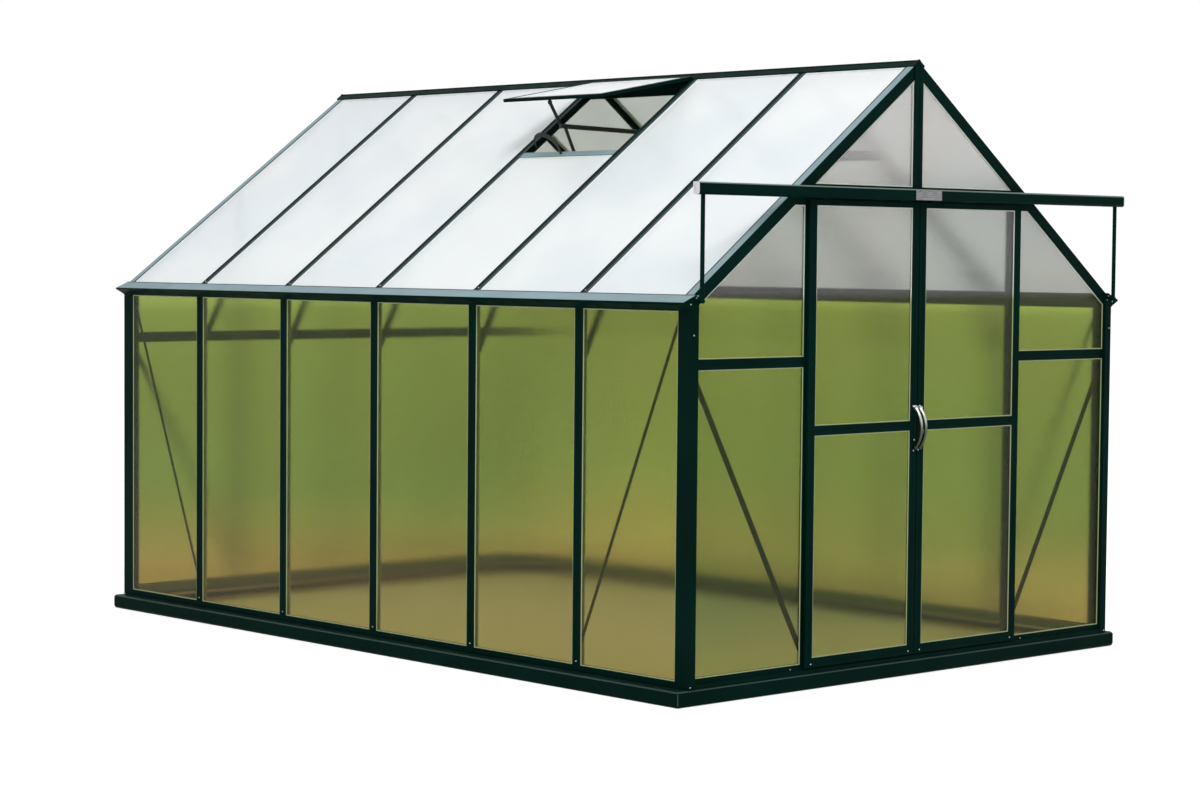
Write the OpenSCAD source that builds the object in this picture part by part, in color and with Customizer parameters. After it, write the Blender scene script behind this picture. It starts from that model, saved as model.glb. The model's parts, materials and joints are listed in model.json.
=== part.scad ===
// Hobby greenhouse: aluminium glazing bars and translucent sheets on a steel base,
// with two sliding doors in the front gable and a hinged vent in each roof slope.
// The origin is the middle of the footprint on the ground, +Z is up and the doors face -Y.

/* [Overall] */
// Width over the outer faces of the corner posts
frame_w = 2441; // [2200:1:3200]
// Spacing of the side posts and of the roof bars
bay = 614; // [560:1:760]
// Number of bays along each side
bays = 6; // [4:1:9]
// Distance by which each end bay is shorter than the others
end_trim = 18; // [0:1:40]
// Height of the roof surface where it meets the gutter
eave_h = 1474; // [1400:1:1650]
// Height of the ridge crest
ridge_h = 2371; // [2250:1:2700]
// Distance of the roof's lower edge behind the post faces
eave_inset = 20.5; // [16:0.5:24]

/* [Base] */
// Height of the base channel
base_h = 60; // [40:1:120]
// Reach of the base beyond the side walls
base_overhang = 51; // [30:1:90]
// Thickness of the base channel's steel
base_t = 4; // [2:0.5:6]
// Outer bend radius of the base channel
base_r = 9; // [7:0.5:14]
// Length of the channel's turned lips
base_lip = 16; // [12:1:18]

/* [Glazing bars] */
// Depth of the wall and roof bars
bar_d = 36; // [32:1:44]
// Thickness of a bar's outer cap
cap_t = 4; // [3:0.5:6]
// Thickness of a bar's web
web_t = 6; // [4:0.5:8]
// Width of a bar's inner lip
lip_w = 18; // [14:1:24]
// Thickness of a bar's inner lip
lip_t = 4; // [3:0.5:6]
// Width of the drainage groove along a cap
groove_w = 7; // [4:0.5:9]
// Depth of the drainage groove along a cap
groove_d = 1.5; // [0.5:0.25:2]
// Cap width of the side posts
post_cap = 44; // [38:1:54]
// Cap width of the roof bars
roof_cap = 40; // [36:1:50]
// Cap width of the king post and the back gable's posts
gable_cap = 48; // [42:1:70]
// Cap width of the posts beside the doors
door_post_cap = 62; // [46:1:70]
// Height of the sills under the side panes
side_sill_h = 25; // [18:1:40]
// Height of the sills under the gable panes
gable_sill_h = 36; // [30:1:50]

/* [Sheets] */
// Thickness of a sheet
pane_t = 6; // [4:1:10]
// Play between a sheet's edge and the web beside it
pane_play = 2; // [1:0.5:4]
// Gap between a seated piece and its seat
fit = 0.3; // [0.2:0.05:0.5]

/* [Roof] */
// Radius of the ridge crest
crest_r = 6; // [5:0.5:9]
// Length of a ridge wing down the slope
ridge_wing = 36; // [28:1:50]
// Thickness of the ridge wings
ridge_t = 4; // [3:0.5:5]
// Depth of the ridge web below the apex
ridge_d = 80; // [70:1:120]
// Depth of a gable rafter's face
rafter_d = 46; // [40:1:70]
// Width of a gable rafter's top flange
rafter_top = 40; // [36:1:60]
// Depth of the rafter's inner ledge below the roof surface
ledge_n = 18; // [16:1:22]
// Reach of the gutter lip beyond the side posts
gutter_reach = 44; // [34:1:60]
// Height of the gutter lip below the roof's lower edge
gutter_drop = 25; // [16:1:32]
// Height of the eave beam's underside below the roof's lower edge
eave_d = 58; // [54:1:80]
// Radius of the gutter's rounded lip
lip_r = 5; // [3:0.5:7]

/* [Vents] */
// Distance of the vent sills from the apex down the slope
vent_l = 545; // [420:1:650]
// Opening angle of the vent that stands open
vent_open = 26; // [10:0.5:45]
// Width of the vent frames' members
vent_bar = 30; // [24:1:40]
// Thickness of a vent frame's lip over its sheet
vent_lip = 3.4; // [2:0.2:8]
// Bay of the open left vent, counted from the front
left_vent_bay = 3; // [2:1:4]
// Bay of the closed right vent, counted from the front
right_vent_bay = 2; // [2:1:4]

/* [Front gable] */
// Distance of the gable frame behind the corner posts' faces
gable_inset = 14; // [12:1:34]
// Distance of the gable posts' middle lines from the centre
gable_post_x = 592; // [560:1:660]
// Height of the header's lower edge above the eaves, as a share of the roof's height
header_share = 0.368; // [0.3:0.004:0.42]
// Height of the header
header_h = 79; // [70:1:100]
// Depth of the sidelight rails' middle line below the roof's lower edge
mid_rail_drop = 250; // [180:1:600]
// Height of the sidelight rails' caps
mid_rail_h = 38; // [30:1:50]
// Projection of the king post in front of the gable frame
king_out = 6; // [5:1:16]

/* [Doors] */
// Thickness of a door frame's lip behind its sheet
door_lip = 2.4; // [2:0.2:6]
// Gap between a door and what it slides past
door_gap = 5; // [5:0.5:8]
// Gap between the closed doors
meeting_gap = 5; // [5:0.5:10]
// Width of a closed door's overlap on its gable post
door_lap = 54; // [30:1:58]
// Width of the door stiles
stile_w = 38; // [28:1:48]
// Height of a door's bottom rail
door_bottom_rail = 37; // [30:1:60]
// Height of a door's top rail
door_top_rail = 21; // [18:1:40]
// Height of a door's middle rail
door_mid_rail = 36; // [30:1:60]
// Height of the middle rail's centre line
door_mid_z = 968; // [800:1:1200]
// Height of the floor track in front of the gable sill
track_h = 17; // [12:1:24]

/* [Door rail] */
// Height of the overhead rail
rail_h = 45; // [40:1:60]
// Depth of the overhead rail
rail_d = 30; // [28:1:60]
// Gap between the doors' faces and the overhead rail
rail_gap = 12; // [8:1:24]
// Reach of the overhead rail beyond the corner posts at each end
rail_reach = 13; // [10:1:40]
// Wall thickness of the overhead rail
rail_t = 3; // [2:0.5:4]
// Radius of the rail's front edges
rail_r = 9; // [5:0.5:12]
// Height of the rail's turned lip
rail_lip = 3; // [2:0.5:3]
// Diameter of the door rollers
roller_d = 26; // [22:1:28]
// Width of the door rollers
roller_w = 10; // [8:1:14]
// Diameter of the roller axles
axle_d = 8; // [6:0.5:9]
// Width of the roller hangers
hanger_w = 50; // [30:1:70]
// Distance of the roller hangers from a door's edges
hanger_edge = 90; // [60:1:160]
// Diameter of the rail's end struts
strut_d = 16; // [10:1:18]
// Distance of the struts from the rail's ends
strut_edge = 36; // [20:1:50]
// Width of the plate on the middle of the rail
plate_w = 150; // [80:1:200]

/* [Handles] */
// Height of the handles' middle
handle_z = 959; // [800:1:1200]
// Distance between a handle's feet
handle_l = 150; // [110:1:200]
// Reach of a handle in front of the door
handle_out = 40; // [34:1:55]
// Diameter of a handle's grip
grip_d = 12; // [10:0.5:14]
// Diameter of a handle's feet
foot_d = 18; // [17:0.5:20]
// Distance of a handle's middle line from the door's meeting edge
handle_edge = 10; // [10:0.5:14]

/* [Braces] */
// Width of the flat braces in the gables
brace_w = 22; // [12:1:34]
// Width of the flat braces in the side walls
side_brace_w = 12; // [10:1:30]
// Width of the knee braces
knee_w = 28; // [18:1:34]
// Thickness of the flat braces
brace_t = 5; // [3:0.5:6]
// Depth of the knee braces' lower ends below the roof's lower edge
knee_drop = 257; // [180:1:480]
// Run of the knee braces from the wall along the roof
knee_run = 165; // [120:1:260]

/* [Hidden] */
$fn = 48;
half_w = frame_w / 2;
half_l = bay * bays / 2 - end_trim;
eave_x = half_w - eave_inset;
apex_h = ridge_h - crest_r;
pitch = atan((apex_h - eave_h) / eave_x);
slope_l = eave_x / cos(pitch);
inner_x = half_w - bar_d;
gable_y = half_l - gable_inset;
gable_in = gable_y - bar_d;
corner_lap = 20;
// Face of a corner post along the side wall, past the gable frame's inner side
corner_l = gable_inset + bar_d + corner_lap;
base_d = base_overhang + bar_d;
base_x = half_w + base_overhang;
side_sill_z = base_h + side_sill_h;
gable_sill_z = base_h + gable_sill_h;
eave_z = eave_h - eave_d;
header_z = eave_h + header_share * (ridge_h - eave_h);
mid_rail_z = eave_h - mid_rail_drop;
knee_z = eave_h - knee_drop;
rail_l = frame_w + 2 * rail_reach;
pane_n = cap_t + fit;
web_gap = web_t / 2 + pane_play;
post_ys = [for (k = [1 : bays - 1]) bay_y(k)];
// Clearance of a plumb-cut end from the ridge web
ridge_in = web_t / 2 + fit;
// Upper end of the roof panes, under the ridge wings
pane_u = ridge_wing / 2;
slope_down = [cos(pitch), -sin(pitch)];
slope_out = [sin(pitch), cos(pitch)];
ridge_foot_w = 28;
ridge_foot_t = 5;
ridge_end_t = 4;
ridge_end_rim = 2;
ridge_end_lap = 5;
gutter_end_t = 4;
rafter_t = 4;
vent_lap = 15;
vent_t = cap_t + pane_t + 2 * fit + vent_lip;
// Hinge line of the flaps, clear of the ridge wing when a flap stands open
flap_u = ridge_wing + fit + ridge_t * tan(vent_open);
flap_l = vent_l + vent_lap - flap_u;
flap_w = bay - roof_cap + 2 * vent_lap;
sill_cap = 35;
sill_d = 30;
// Edge of the gable panes below the roof surface, under the rafters' ledge
gable_pane_n = ledge_n + rafter_t + pane_play;
// Door planes, measured forward from the middle of the plan
door_back = gable_y + door_gap;
door_face = door_back + cap_t + pane_t + 2 * fit + door_lip;
door_x0 = meeting_gap / 2;
door_x1 = gable_post_x - door_post_cap / 2 + door_lap;
door_z0 = base_h + track_h + door_gap;
door_z1 = header_z + door_top_rail;
pane_lap = 12;
// Depth of the slots that hold the sheets' edges in the corner posts
slot_d = 10;
slot_reach = slot_d - pane_play;
// Rail planes
rail_back = door_face + rail_gap;
rail_front = rail_back + rail_d;
rail_z = door_z1 + door_gap;
roller_z = rail_z + rail_t + fit + roller_d / 2;
roller_y = rail_front - rail_d / 2;
rail_end_t = 4;
rail_hole_d = 6;
hanger_t = 4;
hanger_top = roller_z + axle_d;
bracket_w = 40;
bracket_t = 4;
bracket_leg = 30;
bracket_x = 350;
strut_x = rail_l / 2 - strut_edge;
strut_y = rail_back + strut_d / 2 + 2;
strut_foot_z = eave_h - gutter_drop + 3;
plate_t = 1.5;
plate_edge = 3;
// Height of a handle's feet, which take in the grip's slanted ends
foot_t = 0.8 * grip_d;

coat = "#12302a";
sheet = "#c9d3b4";
bright = "#c8ccce";

// Place of the line between two bays, counted from the front
function bay_y(k) = (k - bays / 2) * bay;

// Height of the roof surface, moved n along its normal, at a distance x from the middle
function roof_z(x, n = 0) = apex_h + n / cos(pitch) - abs(x) * tan(pitch);

// Placing

module both_x() {
    children();
    mirror([1, 0, 0]) children();
}

module both_y() {
    children();
    mirror([0, 1, 0]) children();
}

// Front gable pieces are drawn towards +Y and turned to face -Y
module front() mirror([0, 1, 0]) children();

// Frame of the right slope: X down the slope from the apex, Z along the roof's normal
module right_slope() translate([0, 0, apex_h]) rotate([0, pitch, 0]) children();

module left_slope() mirror([1, 0, 0]) right_slope() children();

// Outline in X and Z, from one Y to another
module y_slab(from_y, to_y) translate([0, to_y, 0]) rotate([90, 0, 0]) linear_extrude(to_y - from_y) children();

// Outline across Y and Z, run along X
module x_run(from_x, to_x) translate([from_x, 0, 0]) rotate([90, 0, 90]) linear_extrude(to_x - from_x) children();

// Outline across Y and the roof's normal, run down the slope and cut plumb at both ends
module plumb_run(from_x, to_x) {
    intersection() {
        x_run(0, slope_l + 2 * rafter_d) children();
        rotate([0, -pitch, 0]) translate([from_x, -2 * half_l, -2 * slope_l])
            cube([to_x - from_x, 4 * half_l, 4 * slope_l]);
    }
}

// Straight round bar between two points
module rod(a, b, d) {
    v = b - a;
    translate(a) rotate([0, acos(v[2] / norm(v)), atan2(v[1], v[0])]) cylinder(h = norm(v), d = d);
}

// Flat strip between two points of a plane
module strip(a, b, w) {
    v = b - a;
    translate(a) rotate(atan2(v[1], v[0])) translate([0, -w / 2]) square([norm(v), w]);
}

// Profiles

// Glazing bar with its cap's face on the X axis and its web towards -Y
module bar_profile(cap_w) {
    c = cap_w / 2;
    g = groove_w / 2;
    w = web_t / 2;
    l = lip_w / 2;
    neck = lip_t - bar_d;
    polygon([
        [-c, 0], [-g, 0], [-g, -groove_d], [g, -groove_d], [g, 0], [c, 0], [c, -cap_t], [w, -cap_t],
        [w, neck], [l, neck], [l, -bar_d], [-l, -bar_d], [-l, neck], [-w, neck], [-w, -cap_t], [-c, -cap_t]
    ]);
}

// Square with four round corners
module round_square(size, r) {
    translate([r, 0]) square([size[0] - 2 * r, size[1]]);
    translate([0, r]) square([size[0], size[1] - 2 * r]);
    for (x = [r, size[0] - r], y = [r, size[1] - r]) translate([x, y]) circle(r);
}

// Lipped base channel, open towards the inside, with its outer face on the Y axis
module base_profile() {
    difference() {
        translate([-base_d, 0]) round_square([base_d, base_h], base_r);
        translate([base_t - base_d, base_t])
            round_square([base_d - 2 * base_t, base_h - 2 * base_t], base_r - base_t);
        translate([-base_d - base_t, base_lip]) square([3 * base_t, base_h - 2 * base_lip]);
    }
}

// Corner post with a slot for the side sheet and a slot for the gable sheet
module corner_profile() {
    slot = pane_t + 2 * fit;
    wall = 3;
    gable_slot = gable_inset + cap_t;
    difference() {
        translate([-bar_d, -corner_l]) square([bar_d, corner_l]);
        translate([-cap_t - slot, -corner_l - wall]) square([slot, slot_d + wall]);
        translate([-bar_d - wall, -gable_slot - slot]) square([slot_d + wall, slot]);
        translate([wall - bar_d, wall - gable_slot]) square([bar_d - 2 * wall, gable_slot - 2 * wall]);
        translate([slot_d + wall - bar_d, slot_d + wall - corner_l])
            square([bar_d - slot_d - 2 * wall, corner_l - gable_slot - slot_d - wall]);
    }
}

// Middle of the gutter's rounded lip
gutter_tip = [half_w + gutter_reach - lip_r, eave_h - gutter_drop - lip_r];

// Eave beam: a box under the roof's edge with a wedge-shaped gutter outside the wall
module eave_outline() {
    seat = pane_n + pane_t + fit;
    rebate = [eave_x - seat * sin(pitch), eave_h - seat * cos(pitch)];
    top_dir = atan2(eave_h - gutter_tip[1] - lip_r, gutter_tip[0] - eave_x);
    polygon([
        [inner_x, eave_z], [half_w, eave_z], [half_w + lip_r, eave_z + lip_r],
        gutter_tip - [0, lip_r], gutter_tip, gutter_tip + lip_r * [sin(top_dir), cos(top_dir)],
        [eave_x, eave_h], rebate, [inner_x, roof_z(inner_x, -seat)]
    ]);
    translate(gutter_tip) circle(lip_r);
}

// The beam's hollow and the drain along the gutter's top
module eave_profile() {
    wall = 4;
    difference() {
        eave_outline();
        translate([inner_x + wall, eave_z + wall]) square([bar_d - 2 * wall, eave_d / 2]);
        strip([eave_x + 2 * wall, eave_h], gutter_tip + [0, lip_r + wall], wall);
    }
}

// Gable rafter: a face, a top flange over the roof sheet and a ledge behind the gable sheet
module rafter_profile() {
    translate([-rafter_t, -rafter_d]) square([rafter_t, rafter_d]);
    translate([-rafter_top, -cap_t]) square([rafter_top, cap_t]);
    translate([-bar_d, -ledge_n - rafter_t]) square([bar_d, rafter_t]);
}

// Block with its front two corners rounded and its front face on the Y axis
module round_front(size, r) {
    translate([-size[0], 0]) round_square(size, r);
    translate([-size[0], 0]) square([size[0] / 2, size[1]]);
}

// Overhead rail, open towards the doors, with its front face on the Y axis
module rail_profile() {
    difference() {
        round_front([rail_d, rail_h], rail_r);
        translate([-rail_t, rail_t])
            round_front([rail_d - 2 * rail_t, rail_h - 2 * rail_t], rail_r - rail_t);
        translate([-rail_d - rail_t, rail_t + rail_lip])
            square([rail_d / 2, rail_h - 2 * rail_t - rail_lip]);
    }
}

// Area under the roof, n below its surface along the normal
module under_roof(n) {
    polygon([[-half_w, 0], [half_w, 0], [half_w, roof_z(half_w, -n)], [0, roof_z(0, -n)],
             [-half_w, roof_z(half_w, -n)]]);
}

// Base and sills

module base_sides() {
    color(coat) both_x() intersection() {
        y_slab(-half_l, half_l) translate([base_x, 0]) base_profile();
        linear_extrude(3 * base_h, center = true) polygon([
            [base_x + base_d, half_l + base_d], [base_x - 2 * base_d, half_l - 2 * base_d],
            [base_x - 2 * base_d, 2 * base_d - half_l], [base_x + base_d, -half_l - base_d]
        ]);
    }
}

module base_ends() {
    color(coat) both_y() intersection() {
        x_run(-base_x, base_x) translate([half_l, 0]) base_profile();
        linear_extrude(3 * base_h, center = true) polygon([
            [-base_x - base_d, half_l + base_d], [base_x + base_d, half_l + base_d],
            [base_x - 2 * base_d, half_l - 2 * base_d], [2 * base_d - base_x, half_l - 2 * base_d]
        ]);
    }
}

module side_sills() {
    chamfer = 3;
    wall = 4;
    color(coat) both_x() y_slab(corner_l - half_l + fit, half_l - corner_l - fit) difference() {
        polygon([[inner_x, base_h], [half_w, base_h], [half_w, side_sill_z - chamfer],
                 [half_w - chamfer, side_sill_z], [inner_x, side_sill_z]]);
        translate([inner_x + wall, base_h + wall]) square([bar_d - 2 * wall, side_sill_h - 2 * wall]);
    }
}

// Gable sill; the front one carries the doors' floor track
module gable_sill(track) {
    wall = 4;
    track_out = gable_inset - 2;
    guide_w = 6;
    x_run(-inner_x + fit, inner_x - fit) difference() {
        union() {
            translate([gable_in, base_h]) square([bar_d, gable_sill_h]);
            if (track) translate([gable_y, base_h]) square([track_out, track_h]);
        }
        translate([gable_in + wall, base_h + wall]) square([bar_d - 2 * wall, gable_sill_h - 2 * wall]);
        if (track) translate([gable_y + track_out / 2 - guide_w / 2, base_h + track_h / 2])
            square([guide_w, track_h]);
    }
}

module gable_sills() {
    color(coat) {
        gable_sill(false);
        front() gable_sill(true);
    }
}

// Side walls

module corner_posts() {
    color(coat) both_x() both_y() translate([half_w, half_l, base_h])
        linear_extrude(eave_z - base_h) corner_profile();
}

module side_posts() {
    for (y = post_ys) translate([half_w, y, side_sill_z]) linear_extrude(eave_z - side_sill_z)
        rotate(-90) bar_profile(post_cap);
}

module left_side_posts() color(coat) mirror([1, 0, 0]) side_posts();

module right_side_posts() color(coat) side_posts();

module eave_gutters() {
    color(coat) both_x() y_slab(gutter_end_t - half_l, half_l - gutter_end_t) eave_profile();
}

module gutter_ends() {
    color(coat) both_x() both_y() y_slab(half_l - gutter_end_t, half_l) eave_outline();
}

// Sheets between the side posts
module wall_panes() {
    ys = concat([corner_l - slot_reach - half_l], post_ys, [half_l - corner_l + slot_reach]);
    for (k = [0 : bays - 1]) {
        low = k == 0 ? ys[0] : ys[k] + web_gap;
        high = k == bays - 1 ? ys[bays] : ys[k + 1] - web_gap;
        translate([half_w - pane_n - pane_t, low, side_sill_z + fit])
            cube([pane_t, high - low, eave_z - side_sill_z - 2 * fit]);
    }
}

module left_wall_panes() color(sheet) mirror([1, 0, 0]) wall_panes();

module right_wall_panes() color(sheet) wall_panes();

// Roof

// Upper outline of one half of the ridge, with its wings raised by a thickness
function ridge_half(wing_t, crest) =
    let (turn = 90 + pitch - asin(wing_t / crest), steps = 6)
    concat(
        [for (k = [0 : steps]) crest * [sin(k * turn / steps), cos(k * turn / steps)]],
        [ridge_wing * slope_down + wing_t * slope_out]
    );

// Half of an outline and its mirror image, joined along the middle line
module mirrored(half) {
    other = [for (k = [len(half) - 1 : -1 : 0]) if (abs(half[k][0]) > fit) [-half[k][0], half[k][1]]];
    polygon(concat(half, other));
}

// Ridge bar: two wings over the bars' upper ends, a web between them and a foot
module ridge() {
    web = web_t / 2;
    foot = ridge_foot_w / 2;
    foot_top = ridge_foot_t - ridge_d;
    wing_root = [web, -web * tan(pitch)];
    wings = concat(ridge_half(ridge_t, crest_r), [ridge_wing * slope_down, wing_root, [web, -2 * web]]);
    stem = [[0, 0], [web, -web], [web, foot_top], [foot, foot_top], [foot, -ridge_d]];
    color(coat) {
        y_slab(-gable_y, gable_y) translate([0, apex_h]) mirrored(wings);
        y_slab(fit - gable_in, gable_in - fit) translate([0, apex_h]) mirrored(stem);
    }
}

// Plates that close the ridge bar's two ends
module ridge_ends() {
    half = concat(ridge_half(ridge_t + ridge_end_rim, crest_r + ridge_end_rim),
                  [ridge_wing * slope_down - ridge_end_lap * slope_out, [0, -ridge_end_lap / cos(pitch)]]);
    color(coat) both_y() y_slab(gable_y, gable_y + ridge_end_t) translate([0, apex_h]) mirrored(half);
}

module roof_bars() {
    for (y = post_ys) translate([0, y, 0]) {
        plumb_run(ridge_in, inner_x) bar_profile(roof_cap);
        x_run(slope_l - roof_cap, slope_l - fit) translate([-roof_cap / 2, -cap_t]) difference() {
            square([roof_cap, cap_t]);
            translate([(roof_cap - groove_w) / 2, cap_t - groove_d]) square([groove_w, cap_t]);
        }
    }
}

module left_roof_bars() color(coat) left_slope() roof_bars();

module right_roof_bars() color(coat) right_slope() roof_bars();

module gable_rafters() {
    color(coat) both_x() both_y() right_slope() {
        translate([0, gable_y, 0]) plumb_run(ridge_in, inner_x) rafter_profile();
        x_run(slope_l - rafter_top, slope_l - fit) translate([gable_y - rafter_top, -cap_t])
            square([rafter_top, cap_t]);
    }
}

// Sheets of one slope; the bay with a vent has a short sheet below the vent's sill
module roof_panes(vent_bay) {
    edge = gable_y - rafter_t - pane_play;
    ys = concat([-edge], post_ys, [edge]);
    for (k = [0 : bays - 1]) {
        low = k == 0 ? ys[0] : ys[k] + web_gap;
        high = k == bays - 1 ? ys[bays] : ys[k + 1] - web_gap;
        top = k + 1 == vent_bay ? vent_l + web_t + pane_play : pane_u;
        translate([top, low, -pane_n - pane_t]) cube([slope_l - fit - top, high - low, pane_t]);
    }
}

module left_roof_panes() color(sheet) left_slope() roof_panes(left_vent_bay);

module right_roof_panes() color(sheet) right_slope() roof_panes(right_vent_bay);

// Gables

// Upright bar in the gable frame, cut off under the rafters
module gable_post(x, from_z, to_z, cap_w) {
    intersection() {
        translate([x, gable_y, from_z]) linear_extrude(to_z - from_z) bar_profile(cap_w);
        y_slab(0, half_l) under_roof(rafter_d + fit);
    }
}

// Level bar in the gable frame between two posts
module gable_rail(x0, x1, z, h) x_run(x0, x1) translate([gable_y, z]) rotate(-90) bar_profile(h);

// Sheet in the gable frame, cut off under the rafters' ledge and under the eave beams
module gable_pane(x0, x1, z0, z1) {
    y_slab(gable_y - pane_n - pane_t, gable_y - pane_n) difference() {
        intersection() {
            translate([x0, z0]) square([x1 - x0, z1 - z0]);
            under_roof(gable_pane_n);
        }
        translate([inner_x - fit, eave_z - fit]) square([bar_d, eave_d + slot_d]);
    }
}

corner_edge = inner_x - fit;
pane_edge = inner_x + slot_reach;

module door_posts() {
    color(coat) front() both_x() gable_post(gable_post_x, gable_sill_z, header_z, door_post_cap);
}

module sidelight_rails() {
    post_edge = gable_post_x + door_post_cap / 2;
    color(coat) front() both_x() gable_rail(post_edge + fit, corner_edge, mid_rail_z, mid_rail_h);
}

module front_header() {
    color(coat) front() {
        y_slab(gable_y - cap_t, gable_y) intersection() {
            translate([-corner_edge, header_z]) square([2 * corner_edge, header_h]);
            under_roof(rafter_d + fit);
        }
        y_slab(gable_in, gable_y) intersection() {
            translate([-corner_edge, header_z + header_h / 2 - web_t / 2]) square([2 * corner_edge, web_t]);
            under_roof(rafter_d + fit);
        }
        y_slab(gable_in, gable_y - cap_t) intersection() {
            translate([-corner_edge, header_z]) square([2 * corner_edge, web_t]);
            under_roof(rafter_d + fit);
        }
    }
}

module front_king_post() {
    c = gable_cap / 2;
    foot_z = header_z + header_h / 2;
    web_z = header_z + header_h;
    face = gable_y + king_out;
    color(coat) front() {
        difference() {
            y_slab(gable_y + fit, face) intersection() {
                translate([-c, foot_z]) square([gable_cap, apex_h - foot_z]);
                under_roof(crest_r);
            }
            y_slab(face - groove_d, face + groove_d) translate([-groove_w / 2, 0])
                square([groove_w, ridge_h]);
        }
        y_slab(gable_in, gable_y + 2 * fit) intersection() {
            translate([-web_t / 2, web_z]) square([web_t, apex_h - web_z]);
            under_roof(rafter_d + gable_cap / 2);
        }
    }
}

module front_gable_panes() {
    side_x = gable_post_x + web_gap;
    low = gable_sill_z + fit;
    rail = web_gap;
    head = header_z + header_h / 2 + web_gap;
    color(sheet) front() both_x() {
        gable_pane(side_x, pane_edge, low, mid_rail_z - rail);
        gable_pane(side_x, pane_edge, mid_rail_z + rail, header_z - fit);
        gable_pane(web_gap, corner_edge, head, apex_h);
    }
}

module back_gable_posts() {
    color(coat) for (x = [-gable_post_x, 0, gable_post_x]) gable_post(x, gable_sill_z, apex_h, gable_cap);
}

module back_gable_rails() {
    c = gable_cap / 2;
    color(coat) both_x() {
        gable_rail(gable_post_x + c + fit, corner_edge, mid_rail_z, mid_rail_h);
        gable_rail(c + fit, gable_post_x - c - fit, mid_rail_z, mid_rail_h);
    }
}

module back_gable_panes() {
    low = gable_sill_z + fit;
    color(sheet) both_x() {
        for (xs = [[web_gap, gable_post_x - web_gap], [gable_post_x + web_gap, pane_edge]]) {
            gable_pane(xs[0], xs[1], low, mid_rail_z - web_gap);
            gable_pane(xs[0], xs[1], mid_rail_z + web_gap, apex_h);
        }
    }
}

// Braces

// Slanted strip through two points, cut off at a box's edges
module cut_strip(a, b, w, low, high) {
    reach = (b - a) / 10;
    intersection() {
        strip(a - reach, b + reach, w);
        translate(low) square(high - low);
    }
}

// Flat bars behind the sheets of the side walls' end bays
module side_braces() {
    near = half_l - corner_l - fit;
    far = bay_y(bays - 1) + web_t / 2 + fit;
    foot = side_sill_z + 5 * side_brace_w;
    head = eave_z - 2 * side_brace_w;
    x = half_w - pane_n - pane_t - fit - brace_t;
    color(coat) both_x() both_y() translate([x, 0, 0]) x_run(0, brace_t)
        cut_strip([far, foot], [near, head], side_brace_w, [far, side_sill_z + fit], [near, eave_z - fit]);
}

// Flat bars behind the sheets of the gables' outer bays
module gable_braces() {
    near = gable_post_x + web_t / 2 + fit;
    top = mid_rail_z - web_t / 2 - fit;
    foot = gable_sill_z + brace_w;
    head = mid_rail_z - 2 * brace_w;
    y = gable_y - pane_n - pane_t - fit;
    color(coat) both_x() both_y() y_slab(y - brace_t, y)
        cut_strip([near, foot], [corner_edge, head], brace_w, [near, gable_sill_z + fit], [corner_edge, top]);
}

// Plates beside the lips of each side post and its roof bar
module knee_braces() {
    x0 = inner_x + lip_t;
    x1 = inner_x - knee_run;
    color(coat) both_x() for (y = post_ys) {
        side = y + lip_w / 2 + fit;
        y_slab(side, side + brace_t) strip([x0, knee_z], [x1, roof_z(x1, -bar_d + lip_t)], knee_w);
    }
}

// Vents

// Bar along Y under a vent's lower edge, between the caps of two roof bars
module vent_sill(vent_bay) {
    y0 = bay_y(vent_bay - 1) + roof_cap / 2 + fit;
    span = bay - roof_cap - 2 * fit;
    translate([vent_l, y0, -cap_t]) cube([sill_cap, span, cap_t]);
    translate([vent_l, y0, -sill_d]) cube([web_t, span, sill_d]);
    translate([vent_l - lip_w / 2, y0, -sill_d]) cube([lip_w, span, lip_t]);
}

module vent_sills() {
    color(coat) {
        left_slope() vent_sill(left_vent_bay);
        right_slope() vent_sill(right_vent_bay);
    }
}

// Places a flap drawn from its hinge line, lying in the roof plane at zero degrees
module vent_place(vent_bay, angle) {
    translate([flap_u, bay_y(vent_bay - 0.5), fit]) rotate([0, -angle, 0]) children();
}

// Rebated frame around a vent's sheet
module vent_frame() {
    pane = vent_bar - pane_lap;
    difference() {
        translate([0, -flap_w / 2, 0]) cube([flap_l, flap_w, vent_t]);
        translate([vent_bar, vent_bar - flap_w / 2, -1])
            cube([flap_l - 2 * vent_bar, flap_w - 2 * vent_bar, vent_t + 2]);
        translate([pane, pane - flap_w / 2, cap_t])
            cube([flap_l - 2 * pane, flap_w - 2 * pane, pane_t + 2 * fit]);
    }
}

module vent_pane() {
    edge = vent_bar - pane_lap + pane_play;
    translate([edge, edge - flap_w / 2, cap_t + fit])
        cube([flap_l - 2 * edge, flap_w - 2 * edge, pane_t]);
}

module left_vent_frame() color(coat) left_slope() vent_place(left_vent_bay, vent_open) vent_frame();

module left_vent_pane() color(sheet) left_slope() vent_place(left_vent_bay, vent_open) vent_pane();

module right_vent_frame() color(coat) right_slope() vent_place(right_vent_bay, 0) vent_frame();

module right_vent_pane() color(sheet) right_slope() vent_place(right_vent_bay, 0) vent_pane();

// Point under the open flap, a distance from its hinge line, in the slope's frame
function flap_point(d, n = 0) =
    [flap_u + d * cos(vent_open) - n * sin(vent_open), fit + d * sin(vent_open) + n * cos(vent_open)];

// Heat-driven opener: a cylinder in a head block and two flat arms that turn on the block's pin
opener_arm = 14;
opener_arm_t = 5;
opener_eye = 20;
opener_tube = 20;
opener_block = 16;
opener_offset = 18;
opener_knee_in = 40;
opener_knee_up = 98;
opener_tail_in = 370;
opener_tail_down = 157;
opener_y = bay_y(left_vent_bay - 0.5) + opener_offset;
opener_knee = [vent_l - opener_knee_in, opener_knee_up];
opener_tail = [vent_l - opener_tail_in, -opener_tail_down];

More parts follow.
